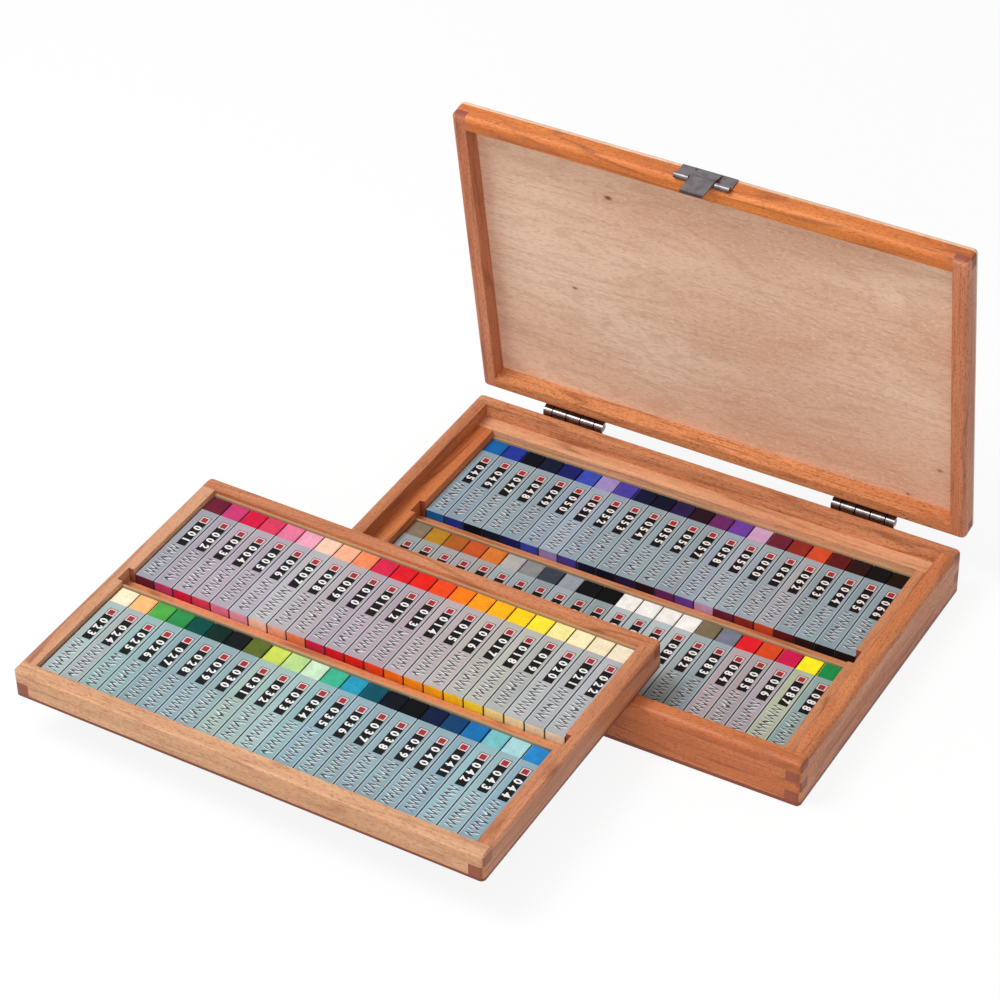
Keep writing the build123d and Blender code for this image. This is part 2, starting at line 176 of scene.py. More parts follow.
@dataclass(frozen=True)
class Lie:
    """Where a body's own origin is, and how the body is turned, with the model at rest."""

    origin: Vector
    turn: Euler

    def matrix(self) -> Matrix:
        """The body's own frame as a matrix."""
        return Matrix.Translation(self.origin) @ self.turn.to_matrix().to_4x4()

    def swing(self) -> Matrix:
        """The move that brings a piece shaped with the body unturned to where the body lies."""
        return self.matrix() @ Matrix.Translation(-self.origin)

    def local_box(self, node_name: str) -> tuple[Vector, Vector]:
        """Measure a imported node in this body's own frame.

        Args:
            node_name: The node's name.

        Returns:
            Its lowest and highest corners.
        """
        inverse = self.matrix().inverted()
        points = [inverse @ v.co for v in frame["nodes"][node_name].data.vertices]
        low = Vector([min(p[i] for p in points) for i in range(3)])
        high = Vector([max(p[i] for p in points) for i in range(3)])
        return low, high

    def coordinates(self, tree: NodeTree) -> Node:
        """Surface points in this body's own frame, for a pattern."""
        points = add(tree, "ShaderNodeTexCoord").outputs["Object"]
        return add(tree, "ShaderNodeMapping", {"Vector": points, "Location": self.origin,
                                               "Rotation": self.turn}, vector_type="TEXTURE")

    def normals(self, tree: NodeTree) -> Node:
        """Surface normals in this body's own frame."""
        normals = add(tree, "ShaderNodeTexCoord").outputs["Normal"]
        return add(tree, "ShaderNodeMapping", {"Vector": normals, "Rotation": self.turn},
                   vector_type="TEXTURE")


def find_joint(name: str) -> dict[str, Any]:
    """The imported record's entry for a joint."""
    return next(joint for joint in frame["record"]["behaviour"]["joints"] if joint["name"] == name)


def case_lie() -> Lie:
    """The case stands square in the row frame."""
    return Lie(Vector((0, 0, 0)), Euler((0, 0, 0)))


def lid_lie() -> Lie:
    """The lid's own frame is on the hinge axis, turned back by the angle that it stands open."""
    hinge = find_joint("lid_hinge")
    return Lie(Vector(hinge["pos_m"]), Euler((-math.radians(hinge["range_deg"][1]), 0, 0)))


def tray_lie() -> Lie:
    """The tray's own frame is at its bottom board, sloped and turned as its slide is.

    Returns:
        How the tray lies.
    """
    axis = Vector(find_joint("tray_slide")["axis"])
    low, high = (Vector(corner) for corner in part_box("tray_bottom_board"))
    return Lie((low + high) / 2, Euler((math.asin(-axis.z), 0, math.atan2(axis.x, -axis.y))))


# ---- finishes ----

class Grain(Enum):
    """The axis of its body that a board's grain runs along."""

    ALONG_X = (1.0, 0.0, 0.0)
    ALONG_Y = (0.0, 1.0, 0.0)


@dataclass(frozen=True)
class Beech:
    """Steamed beech, planed, sanded and sealed with a thin satin lacquer.

    The eye sees a warm pinkish orange with soft bands, thin brown growth lines, short dark ray
    flecks that lie along the grain, and darker red end grain at the finger joints.
    """

    name: str
    pale: str
    deep: str
    fleck: str = "#7d4328"
    end: str = "#93473a"
    band_mm: float = 9.0
    ring_mm: float = 22.0
    ring_count: float = 9.0
    ring_amount: float = 0.6
    pore_mm: float = 0.55
    # real flecks are about 0.2 mm wide, drawn wider so that they show
    fleck_mm: float = 0.46
    fleck_amount: float = 0.6
    line_mm: float = 0.5
    line_amount: float = 0.4
    glint_value: float = 1.12
    roughness: float = 0.45

    def material(self, lie: Lie, grain: Grain, seed: int) -> Material:
        """Build the finish for one board.

        Args:
            lie: The frame of the body that the board belongs to.
            grain: The axis that the grain runs along.
            seed: Moves the pattern, so that no two boards look alike.

        Returns:
            The material.
        """
        material, tree = new_material(f"{self.name}_{seed:02d}")
        quarter = 0.0 if grain is Grain.ALONG_X else -math.pi / 2
        board = add(tree, "ShaderNodeMapping",
                    {"Vector": lie.coordinates(tree), "Rotation": (0, 0, quarter),
                     "Location": [step * seed for step in SEED_STEP]})
        shares = draw_patterns(tree, board, {
            "bands": Pattern(self.band_mm, 12, 3, 0.32, 0.68),
            "heights": Pattern(self.ring_mm, 11, 2, most=self.ring_count * 2 * math.pi),
            "breaks": Pattern(4.0, 8, 2, 0.35, 0.6),
            "streaks": Pattern(0.9, 35, 2, 0.45, 0.72, most=0.6),
            "lines": Pattern(self.line_mm, 30, 2, 0.52, 0.74, most=self.line_amount),
            "flecks": Pattern(self.fleck_mm, 4.5, 1, 0.55, 0.66, most=self.fleck_amount),
            "glints": Pattern(self.fleck_mm, 3.5, 1, 0.60, 0.75, most=0.35),
            "pores": Pattern(self.pore_mm, 1, 2, 0.4, 0.75)})
        wave = add(tree, "ShaderNodeMath", {0: shares["heights"]}, operation="SINE")
        rings = add(tree, "ShaderNodeMapRange", {"Value": wave, "From Min": 0.55,
                                                 "To Max": self.ring_amount})
        broken = add(tree, "ShaderNodeMath", {0: rings, 1: shares["breaks"]}, operation="MULTIPLY")
        colour: Any = linear(self.pale)
        for share, over in ((shares["bands"], self.deep), (broken, self.fleck),
                            (shares["streaks"], self.deep), (shares["lines"], self.fleck),
                            (shares["flecks"], self.fleck)):
            colour = add(tree, "ShaderNodeMix", {0: share, 6: colour, 7: linear(over)},
                         data_type="RGBA").outputs[2]

        facing = add(tree, "ShaderNodeVectorMath", {0: lie.normals(tree), 1: grain.value},
                     operation="DOT_PRODUCT").outputs["Value"]
        across = add(tree, "ShaderNodeMath", {0: facing}, operation="ABSOLUTE")
        end_face = add(tree, "ShaderNodeMapRange",
                       {"Value": across, "From Min": 0.6, "From Max": 0.85, "To Max": 0.9})
        end_tone = add(tree, "ShaderNodeMix", {0: shares["pores"], 6: linear(self.end),
                                               7: linear(self.fleck)}, data_type="RGBA").outputs[2]
        bright = add(tree, "ShaderNodeHueSaturation", {"Color": colour, "Value": self.glint_value})
        for share, over in ((shares["glints"], bright), (end_face, end_tone)):
            colour = add(tree, "ShaderNodeMix", {0: share, 6: colour, 7: over},
                         data_type="RGBA").outputs[2]
        relief = add(tree, "ShaderNodeMath", {0: shares["streaks"], 1: shares["flecks"]},
                     operation="ADD")
        bump = add(tree, "ShaderNodeBump",
                   {"Height": relief, "Strength": 0.3, "Distance": 0.12 * MM}, invert=True)
        rough = add(tree, "ShaderNodeMapRange", {"Value": shares["bands"],
                                                 "To Min": self.roughness - 0.05,
                                                 "To Max": self.roughness + 0.08})
        shader = add(tree, "ShaderNodeBsdfPrincipled",
                     {"Base Color": colour, "Roughness": rough, "Normal": bump,
                      "Specular IOR Level": 0.3, "Coat Weight": 0.05, "Coat Roughness": 0.45})
        add(tree, "ShaderNodeOutputMaterial", {"Surface": shader})
        return material


@dataclass(frozen=True)
class Knot:
    """A small pin knot in veneer: its place on the lid, from the hinge axis, and its size."""

    x_mm: float
    y_mm: float
    radius_mm: float
    strength: float


@dataclass(frozen=True)
class RotaryVeneer:
    """Rotary-cut birch plywood under satin lacquer: pale and pinkish.

    The eye sees dense short dashes, faint wandering figure and a few pin knots.
    """

    pale: str = "#f0ceb2"
    deep: str = "#e0b294"
    vein: str = "#bb8260"
    glint: str = "#f8e2cf"
    knot: str = "#5e2a20"
    figure_mm: float = 30.0
    dash_mm: float = 0.75
    # a knot is longer than wide, and this is its width over its length
    knot_narrow: float = 0.6
    knots: tuple[Knot, ...] = (Knot(-58.1, -154.1, 1.7, 0.9), Knot(-82.2, -85.2, 1.2, 0.7),
                               Knot(121.6, -36.4, 1.2, 0.6), Knot(104.1, -12.7, 0.8, 0.9))

    def material(self, lie: Lie) -> Material:
        """Build the panel's finish.

        Args:
            lie: The lid's frame.

        Returns:
            The material.
        """
        material, tree = new_material("birch_plywood_rotary_cut_lacquered")
        sheet = lie.coordinates(tree)
        shares = draw_patterns(tree, sheet, {
            "clouds": Pattern(46.0, 3, 3, 0.35, 0.65),
            "heights": Pattern(self.figure_mm, 7, 3, most=60.0, bend=0.8),
            "dashes": Pattern(self.dash_mm, 5, 1, 0.5, 0.72, most=0.42),
            "glints": Pattern(self.dash_mm * 1.1, 3, 1, 0.56, 0.74, most=0.5)})
        wave = add(tree, "ShaderNodeMath", {0: shares["heights"]}, operation="SINE")
        veins = add(tree, "ShaderNodeMapRange", {"Value": wave, "From Min": 0.2, "To Max": 0.22})
        layers = [(shares["clouds"], self.deep), (veins, self.vein), (shares["dashes"], self.vein),
                  (shares["glints"], self.glint)]
        for knot in self.knots:
            centre, radius = Vector((knot.x_mm, knot.y_mm, 0)) * MM, knot.radius_mm * MM
            away = add(tree, "ShaderNodeMapping",
                       {"Vector": sheet, "Location": (-centre.x * self.knot_narrow, -centre.y, 0),
                        "Scale": (self.knot_narrow, 1, 0)})
            distance = add(tree, "ShaderNodeVectorMath", {0: away},
                           operation="LENGTH").outputs["Value"]
            # a soft halo and its dark spot: where each starts to fade, its end, and its share
            for inner, outer, amount, tone in ((0.8, 3, 0.35, self.vein), (0.35, 1, 1, self.knot)):
                share = add(tree, "ShaderNodeMapRange",
                            {"Value": distance, "From Min": radius * inner,
                             "From Max": radius * outer, "To Min": amount * knot.strength,
                             "To Max": 0.0})
                layers.append((share, tone))
        colour: Any = linear(self.pale)
        for share, over in layers:
            colour = add(tree, "ShaderNodeMix", {0: share, 6: colour, 7: linear(over)},
                         data_type="RGBA").outputs[2]
        bump = add(tree, "ShaderNodeBump", {"Height": shares["dashes"], "Strength": 0.2,
                                            "Distance": 0.08 * MM}, invert=True)
        shader = add(tree, "ShaderNodeBsdfPrincipled",
                     {"Base Color": colour, "Normal": bump, "Roughness": 0.5, "Coat Weight": 0.08,
                      "Coat Roughness": 0.4})
        add(tree, "ShaderNodeOutputMaterial", {"Surface": shader})
        return material


@dataclass(frozen=True)
class RowPlace:
    """Where a row of sticks lies in its body's own frame, in metres."""

    left: float
    right: float
    sleeve_back: float
    top: float

    @property
    def pitch(self) -> float:
        """The distance from one stick to the next."""
        return (self.right - self.left) / STICKS_PER_ROW


def stick_colours(tree: NodeTree, lie: Lie, place: RowPlace,
                  colours: tuple[str, ...]) -> tuple[Node, Node]:
    """Colour by stick, as steps along the row.

    Args:
        tree: The material's tree.
        lie: The frame of the row's body.
        place: Where the row lies.
        colours: One colour for each stick, from the left.

    Returns:
        The colour, and the stick's place in the row as a number that runs from 0 to the count.
    """
    parts = add(tree, "ShaderNodeSeparateXYZ", {0: lie.coordinates(tree)})
    count = add(tree, "ShaderNodeMapRange", {"Value": parts.outputs["X"], "From Min": place.left,
                                             "From Max": place.right, "To Max": STICKS_PER_ROW})
    share = add(tree, "ShaderNodeMath", {0: count, 1: 1 / STICKS_PER_ROW}, operation="MULTIPLY")
    ramp = add(tree, "ShaderNodeValToRGB", {"Fac": share})
    steps = ramp.color_ramp
    steps.interpolation = "CONSTANT"
    steps.elements[1].position = 1 / STICKS_PER_ROW
    for index, code in enumerate(colours):
        step = steps.elements[index] if index < 2 else steps.elements.new(index / STICKS_PER_ROW)
        step.color = linear(code)
    return ramp, count


@dataclass(frozen=True)
class PressedPastel:
    """Pigment and binder pressed in square bars: dead matt and faintly mottled, with painted shade in
    the gaps between bars.
    """

    # the painted shade in the gaps between sticks
    gap_shade: str = "#1a1214"
    powder_mm: float = 0.9
    bloom_mm: float = 5.0
    gap_mm: float = 0.3

    def material(self, name: str, lie: Lie, place: RowPlace,
                 colours: tuple[str, ...]) -> Material:
        """Build the finish for one row of sticks.

        Args:
            name: The row's name.
            lie: The frame of the row's body.
            place: Where the row lies.
            colours: One colour for each stick.

        Returns:
            The material.
        """
        material, tree = new_material(f"{name}_pastel_pressed")
        colour, count = stick_colours(tree, lie, place, colours)
        shares = draw_patterns(tree, lie.coordinates(tree), {
            "powder": Pattern(self.powder_mm),
            "grit": Pattern(self.powder_mm, low=0.3, high=0.7, least=0.92, most=1.08),
            "shade": Pattern(self.bloom_mm, 1, 2, 0.3, 0.7, 0.9, 1.08)})
        value = add(tree, "ShaderNodeMath", {0: shares["shade"], 1: shares["grit"]},
                    operation="MULTIPLY")
        toned = add(tree, "ShaderNodeHueSaturation", {"Color": colour, "Value": value})
        # painted shade: a dark line in the narrow gap between two sticks
        part = add(tree, "ShaderNodeMath", {0: count}, operation="FRACT")
        inside = add(tree, "ShaderNodeMath",
                     {0: part, 1: 0.5, 2: 0.5 - self.gap_mm * MM / place.pitch},
                     operation="COMPARE")
        mixed = add(tree, "ShaderNodeMix", {0: inside, 6: linear(self.gap_shade), 7: toned},
                    data_type="RGBA").outputs[2]
        bump = add(tree, "ShaderNodeBump", {"Height": shares["powder"], "Strength": 0.3,
                                            "Distance": 0.1 * MM})
        shader = add(tree, "ShaderNodeBsdfPrincipled",
                     {"Base Color": mixed, "Normal": bump, "Roughness": 0.9,
                      "Specular IOR Level": 0.1})
        add(tree, "ShaderNodeOutputMaterial", {"Surface": shader})
        return material


@dataclass(frozen=True)
class SilverPaper:
    """Thin silver-grey coated paper, folded round the stick and printed.

    The print is a small plain square in a white frame, a dark bar for the number, and plain
    zigzag hatching with a painted white highlight beside each stroke, as if embossed. A little
    of the stick's own colour tints the paper, the folded edge has a painted highlight, and the
    gap between two sleeves has painted shade.
    """

    base: str
    # the painted highlight along each sleeve's folded edge
    edge: str = "#d3dde0"
    # the painted shade in the gap between two sleeves
    gap_shade: str = "#0f2029"
    ink: str = "#060507"
    square: str = "#9c3038"
    frame: str = "#e2cfcb"
    stroke: str = "#2b2d36"
    # the painted white highlight beside each hatch stroke, as if the stroke were embossed
    stroke_highlight: str = "#f2f6f6"
    tint: float = 0.14
    # the print sits up to half of this higher or lower from sleeve to sleeve
    slip_mm: float = 1.6
    # only faces turned up more than this are printed
    up_least: float = 0.7
    bar_start_mm: float = 4.2
    bar_length_mm: float = 24.4
    bar_half_width_mm: float = 2.6
    bar_side_step_mm: float = 1.1
    square_side_mm: float = 4.6
    square_margin_mm: float = 0.35
    square_frame_mm: float = 0.6
    hatch_start_mm: float = 30.0
    hatch_length_mm: float = 25.0
    hatch_side_step_mm: float = -0.2
    hatch_half_height_mm: float = 2.3
    hatch_reach_mm: float = 3.6
    hatch_pitch_mm: float = 2.6
    hatch_jitter_mm: float = 1.6
    # the hatch lines are steep, so this is their half width measured straight across the stick
    hatch_line_mm: float = 1.05
    hatch_highlight_step_mm: float = -0.5
    edge_highlight_mm: float = 0.45
    gap_mm: float = 0.42
    fibre_mm: float = 0.8
    cloud_mm: float = 18.0

    def print_steps(self, place: RowPlace) -> list[tuple[Any, ...]]:
        """The arithmetic that places the print on a sleeve, in millimetres.

        Args:
            place: Where the row lies.

        Returns:
            For each step, the result's name, the operation, and its terms: names or numbers.
        """
        pitch_mm = place.pitch / MM
        bar_half = self.bar_length_mm / 2
        side_half = self.square_side_mm / 2
        square_mid = self.bar_start_mm + self.square_margin_mm + side_half
        square_wide = self.bar_half_width_mm - self.square_margin_mm
        hatch_half = self.hatch_length_mm / 2
        rim = self.square_frame_mm
        steps: list[tuple[Any, ...]] = [
            # across the stick from its middle, its number in the row, and down from its top end
            ("part", "FRACT", "count"),
            ("aside", "SUBTRACT", "part", 0.5),
            ("aside", "MULTIPLY", "aside", pitch_mm),
            ("away", "ABSOLUTE", "aside"),
            ("number", "FLOOR", "count"),
            ("down", "MULTIPLY_ADD", "y", -1 / MM, place.sleeve_back / MM),
            ("slip", "MULTIPLY_ADD", "jog", -self.slip_mm, self.slip_mm / 2),
            ("down", "ADD", "down", "slip"),
            ("on_top", "GREATER_THAN", "up", self.up_least),
            # the hatching swells and wanders along the stick
            ("across", "SUBTRACT", "aside", self.hatch_side_step_mm),
            ("along", "MULTIPLY", "number", 7.3),
            ("along", "MULTIPLY_ADD", "down", 0.35, "along"),
            ("jitter", "MULTIPLY", "swell", self.hatch_jitter_mm),
            ("wander", "ADD", "down", "jitter"),
            ("height", "MULTIPLY_ADD", "swell", 1.4, 0.3),
            ("height", "MULTIPLY", "height", self.hatch_half_height_mm),
            ("reach", "ABSOLUTE", "across"),
            ("reach", "LESS_THAN", "reach", self.hatch_reach_mm),
            ("hatched", "COMPARE", "down", self.hatch_start_mm + hatch_half, hatch_half),
            ("hatched", "MULTIPLY", "hatched", "reach"),
            ("hatched", "MULTIPLY", "hatched", "on_top"),
            # the paper's tone, the painted highlight on its folded edge, and the painted shade in the
            # gap beside it
            ("value", "MULTIPLY_ADD", "cloud", 0.24, 0.86),
            ("tone", "MULTIPLY_ADD", "jog", 0.12, -0.06),
            ("value", "ADD", "value", "tone"),
            ("tone", "MULTIPLY_ADD", "fibre", 0.12, -0.06),
            ("value", "ADD", "value", "tone"),
            ("edge", "GREATER_THAN", "away", pitch_mm / 2 - self.edge_highlight_mm - self.gap_mm),
            ("edge", "MULTIPLY", "edge", 0.45),
            # painted shade in the gap between two sleeves
            ("gap_shade", "GREATER_THAN", "away", pitch_mm / 2 - self.gap_mm),
            ("gap_shade", "MULTIPLY", "gap_shade", 0.9)]
        # each hatch stroke, and its painted white highlight a little beside it
        for name, shift_mm, share in (("stroke_highlight", self.hatch_highlight_step_mm, 0.6),
                                      ("stroke", 0.0, 0.9)):
            steps += [("swing", "ADD", "wander", shift_mm),
                      ("swing", "PINGPONG", "swing", self.hatch_pitch_mm / 2),
                      ("swing", "MULTIPLY_ADD", "swing", 4 / self.hatch_pitch_mm, -1.0),
                      ("swing", "MULTIPLY", "swing", "height"),
                      (name, "COMPARE", "across", "swing", self.hatch_line_mm),
                      (name, "MULTIPLY", name, "hatched"),
                      (name, "MULTIPLY", name, share)]
        for name, half_width, mid, half_length in (
                ("bar", self.bar_half_width_mm, self.bar_start_mm + bar_half, bar_half),
                ("frame", square_wide, square_mid, side_half),
                ("square", square_wide - rim, square_mid, side_half - rim)):
            steps += [("beside", "COMPARE", "aside", self.bar_side_step_mm, half_width),
                      (name, "COMPARE", "down", mid, half_length),
                      (name, "MULTIPLY", name, "beside"),
                      (name, "MULTIPLY", name, "on_top")]
        return steps

    def material(self, name: str, lie: Lie, place: RowPlace,
                 colours: tuple[str, ...]) -> Material:
        """Build the finish for one row of sleeves.

        Args:
            name: The row's name.
            lie: The frame of the row's body.
            place: Where the row lies.
            colours: The colour of the stick inside each sleeve.

        Returns:
            The material.
        """
        material, tree = new_material(f"{name}_sleeve_paper_printed")
        colour, count = stick_colours(tree, lie, place, colours)
        points = lie.coordinates(tree)
        parts = add(tree, "ShaderNodeSeparateXYZ", {0: points})
        facing = add(tree, "ShaderNodeSeparateXYZ", {0: lie.normals(tree)})
        jog = add(tree, "ShaderNodeTexWhiteNoise", noise_dimensions="1D")
        swell = add(tree, "ShaderNodeTexNoise", {"Scale": 1.0, "Detail": 1}, noise_dimensions="1D")
        known: dict[Any, Any] = {"count": count, "y": parts.outputs["Y"], "up": facing.outputs["Z"],
                                 "jog": jog, "swell": swell}
        known.update(draw_patterns(tree, points, {"fibre": Pattern(self.fibre_mm),
                                                  "cloud": Pattern(self.cloud_mm, detail=1)}))
        for result, operation, *terms in self.print_steps(place):
            known[result] = add(tree, "ShaderNodeMath",
                                {key: known.get(term, term) for key, term in enumerate(terms)},
                                operation=operation)
        tree.links.new(known["number"].outputs[0], jog.inputs["W"])
        tree.links.new(known["along"].outputs[0], swell.inputs["W"])

        paper = add(tree, "ShaderNodeMix", {0: self.tint, 6: linear(self.base), 7: colour},
                    data_type="RGBA").outputs[2]
        paper = add(tree, "ShaderNodeHueSaturation", {"Color": paper, "Value": known["value"]})
        for share, over in (("edge", self.edge), ("stroke_highlight", self.stroke_highlight),
                            ("stroke", self.stroke), ("bar", self.ink), ("frame", self.frame),
                            ("square", self.square), ("gap_shade", self.gap_shade)):
            paper = add(tree, "ShaderNodeMix", {0: known[share], 6: paper, 7: linear(over)},
                        data_type="RGBA").outputs[2]
        bump = add(tree, "ShaderNodeBump", {"Height": known["fibre"], "Strength": 0.12,
                                            "Distance": 0.05 * MM})
        shader = add(tree, "ShaderNodeBsdfPrincipled",
                     {"Base Color": paper, "Normal": bump, "Roughness": 0.6,
                      "Specular IOR Level": 0.15})
        add(tree, "ShaderNodeOutputMaterial", {"Surface": shader})
        return material


@dataclass(frozen=True)
class PlainStock:
    """Plain matt stock of one colour, card or dried ink, with a faint unevenness."""

    name: str
    colour: str
    grain: Pattern
    roughness: float

    def material(self) -> Material:
        """Build the finish.

        Returns:
            The material.
        """
        material, tree = new_material(self.name)
        points = add(tree, "ShaderNodeTexCoord").outputs["Object"]
        shade = draw_patterns(tree, points, {"grain": self.grain})["grain"]
        tone = add(tree, "ShaderNodeHueSaturation", {"Color": linear(self.colour), "Value": shade})
        shader = add(tree, "ShaderNodeBsdfPrincipled", {"Base Color": tone,
                                                        "Roughness": self.roughness})
        add(tree, "ShaderNodeOutputMaterial", {"Surface": shader})
        return material


@dataclass(frozen=True)
class SheetSteel:
    """Sheet steel, plated, with the fine lines of rolling and a little tarnish.

    Painted shade darkens the joints between knuckles, at seams_mm either side of the middle, for the
    shade in their narrow gaps.
    """

    name: str
    colour: str
    tarnish: str
    roughness: float
    # the colour of the painted shade in the joints between knuckles
    seam_shade: str = "#0c090a"
    line_mm: float = 0.25
    tarnish_mm: float = 4.0
    seams_mm: tuple[float, ...] = ()
    seam_half_mm: float = 0.28
    seam_reach_mm: float = 2.3

    def material(self, lie: Lie, axis_z: float = 0.0) -> Material:
        """Build the finish.

        Args:
            lie: The frame of the body that the steel is on.
            axis_z: The height of the knuckles' axis in that frame, in metres.

        Returns:
            The material.
        """
        material, tree = new_material(self.name)
        points = lie.coordinates(tree)
        shares = draw_patterns(tree, points, {
            "lines": Pattern(self.line_mm, 20, 2),
            "tarnish": Pattern(self.tarnish_mm, 1, 3, 0.4, 0.7, most=0.6)})
        colour: Any = add(tree, "ShaderNodeMix",
                          {0: shares["tarnish"], 6: linear(self.colour), 7: linear(self.tarnish)},
                          data_type="RGBA").outputs[2]
        rough = add(tree, "ShaderNodeMapRange", {"Value": shares["lines"],
                                                 "To Min": self.roughness - 0.06,
                                                 "To Max": self.roughness + 0.1})
        parts = add(tree, "ShaderNodeSeparateXYZ", {0: points})
        aside = add(tree, "ShaderNodeMath", {0: parts.outputs["X"]}, operation="ABSOLUTE")
        near = add(tree, "ShaderNodeMath", {0: parts.outputs["Z"], 1: axis_z,
                                            2: self.seam_reach_mm * MM}, operation="COMPARE")
        # painted shade in each joint between knuckles: dark, and matt so that it reflects nothing
        for seam in self.seams_mm:
            on_seam = add(tree, "ShaderNodeMath",
                          {0: aside, 1: seam * MM, 2: self.seam_half_mm * MM},
                          operation="COMPARE")
            share = add(tree, "ShaderNodeMath", {0: on_seam, 1: near}, operation="MULTIPLY")
            colour = add(tree, "ShaderNodeMix", {0: share, 6: colour, 7: linear(self.seam_shade)},
                         data_type="RGBA").outputs[2]
            rough = add(tree, "ShaderNodeMath", {0: rough, 1: share}, operation="MAXIMUM")
        bump = add(tree, "ShaderNodeBump", {"Height": shares["lines"], "Strength": 0.1,
                                            "Distance": 0.03 * MM})
        shader = add(tree, "ShaderNodeBsdfPrincipled",
                     {"Base Color": colour, "Roughness": rough, "Normal": bump, "Metallic": 1.0})
        add(tree, "ShaderNodeOutputMaterial", {"Surface": shader})
        return material


# ---- wooden bodies ----

DIVIDER = Beech("beech_divider_sanded", "#f0a070", "#dc8658", fleck_amount=0.35)
# darker than the walls: this tone is partly painted shade, for the shaded line along the case's
# bottom edge
BOTTOM_BOARD = Beech("beech_board_planed_lacquered", "#8e4c36", "#6c3626")
LINER_SIDE = Beech("beech_liner_side_sanded", "#d99a6c", "#c0805a", fleck_amount=0.35)


def dress_boards(lie: Lie, first_seed: int, boards: dict[str, tuple[Beech, Grain]]) -> None:
    """Give each board of a body its own piece of timber.

    Args:
        lie: The body's frame.
        first_seed: The first board's seed, from which the next ones count up.
        boards: Node name to the timber and the way that its grain runs.
    """
    for seed, (node_name, (timber, grain)) in enumerate(boards.items(), first_seed):
        cover(frame["nodes"][node_name], timber.material(lie, grain, seed))
        LOG.info("dressed %s", node_name)


@dataclass
class Case:
    """The case: jointed walls on a bottom board, and a liner whose rails hold the tray up."""

    lie: Lie = field(default_factory=case_lie)
    first_seed: int = 1
    front: Beech = Beech("beech_case_front_lacquered", "#d98452", "#bc683c")
    back: Beech = Beech("beech_case_back_lacquered", "#df9a6c", "#c27e56")
    left: Beech = Beech("beech_case_left_lacquered", "#cd8558", "#b06c44")
    right: Beech = Beech("beech_case_right_lacquered", "#e0925f", "#c47446")
    liner_back: Beech = Beech("beech_liner_back_sanded", "#e8b088", "#d4966c", fleck_amount=0.3)
    liner_left: Beech = Beech("beech_liner_left_sanded", "#dc8850", "#c4703e", fleck_amount=0.35)

    def dress(self, card: Material) -> None:
        """Give the boards their timber and the strips their card.

        Args:
            card: The strips' finish.
        """
        along, across = Grain.ALONG_X, Grain.ALONG_Y
        dress_boards(self.lie, self.first_seed, {
            "case_front_wall": (self.front, along), "case_back_wall": (self.back, along),
            "case_left_wall": (self.left, across), "case_right_wall": (self.right, across),
            "case_bottom_board": (BOTTOM_BOARD, along), "liner_front_rail": (LINER_SIDE, along),
            "liner_back_rail": (self.liner_back, along),
            "liner_left_rail": (self.liner_left, across),
            "liner_right_rail": (LINER_SIDE, across), "liner_divider": (DIVIDER, along)})
        cover(frame["nodes"]["liner_card_strips"], card)


@dataclass
class Lid:
    """The lid: jointed walls round a plywood panel."""

    lie: Lie = field(default_factory=lid_lie)
    first_seed: int = 21
    front: Beech = Beech("beech_lid_front_lacquered", "#e88c44", "#cc6e34", fleck_amount=0.55)
    side: Beech = Beech("beech_lid_side_lacquered", "#dc9068", "#c0724e", fleck_amount=0.55)
    back: Beech = Beech("beech_lid_back_lacquered", "#e59c68", "#cb7e4c", fleck_amount=0.7)
    panel: RotaryVeneer = RotaryVeneer()

    def dress(self) -> None:
        """Give the walls their timber and the panel its veneer."""
        along, across = Grain.ALONG_X, Grain.ALONG_Y
        dress_boards(self.lie, self.first_seed, {
            "lid_front_wall": (self.front, along), "lid_back_wall": (self.back, along),
            "lid_left_wall": (self.side, across), "lid_right_wall": (self.side, across)})
        cover(frame["nodes"]["lid_panel"], self.panel.material(self.lie))


@dataclass
class Tray:
    """The tray: jointed walls on a bottom board, and a divider between its two rows."""

    lie: Lie = field(default_factory=tray_lie)
    first_seed: int = 31
    front: Beech = Beech("beech_tray_front_lacquered", "#dfae86", "#cb946e", fleck="#8e5638",
                         fleck_amount=0.5, ring_amount=0.4)
    back: Beech = Beech("beech_tray_back_lacquered", "#d48c62", "#b87048", fleck_amount=0.55)
    left: Beech = Beech("beech_tray_left_lacquered", "#dda580", "#c88e6a", fleck_amount=0.35)
    right: Beech = Beech("beech_tray_right_lacquered", "#d39068", "#b8744e", fleck_amount=0.4)

    def dress(self, card: Material) -> None:
        """Give the boards their timber and the strips their card.

        Args:
            card: The strips' finish.
        """
        along, across = Grain.ALONG_X, Grain.ALONG_Y
        dress_boards(self.lie, self.first_seed, {
            "tray_front_wall": (self.front, along), "tray_back_wall": (self.back, along),
            "tray_left_wall": (self.left, across), "tray_right_wall": (self.right, across),
            "tray_bottom_board": (BOTTOM_BOARD, along), "tray_divider": (DIVIDER, along)})
        cover(frame["nodes"]["tray_card_strips"], card)


# ---- metal shaped by hand ----

def select_only(piece: Object) -> None:
    """Select one piece and nothing else, and make it active.

    Args:
        piece: The piece.
    """
    bpy.ops.object.select_all(action="DESELECT")
    piece.select_set(True)
    bpy.context.view_layer.objects.active = piece


def pick_faces(piece: Object, rule: Callable[[BMFace], bool]) -> None:
    """Go to edit mode with only some faces selected.

    Args:
        piece: The piece to edit.
        rule: Says of a face whether it is selected.
    """
    select_only(piece)
    bpy.ops.object.mode_set(mode="EDIT")
    bpy.ops.mesh.select_mode(type="FACE")
    bpy.ops.mesh.select_all(action="DESELECT")
    mesh = bmesh.from_edit_mesh(piece.data)
    for face in mesh.faces:
        face.select = rule(face)
    bmesh.update_edit_mesh(piece.data)


def join(pieces: list[Object], name: str) -> Object:
    """Join meshes into one piece.

    Args:
        pieces: The meshes.
        name: The joined piece's name.

    Returns:
        The joined piece.
    """
    select_only(pieces[0])
    for piece in pieces:
        piece.select_set(True)
    bpy.ops.object.join()
    joined = bpy.context.view_layer.objects.active
    joined.name = name
    return joined


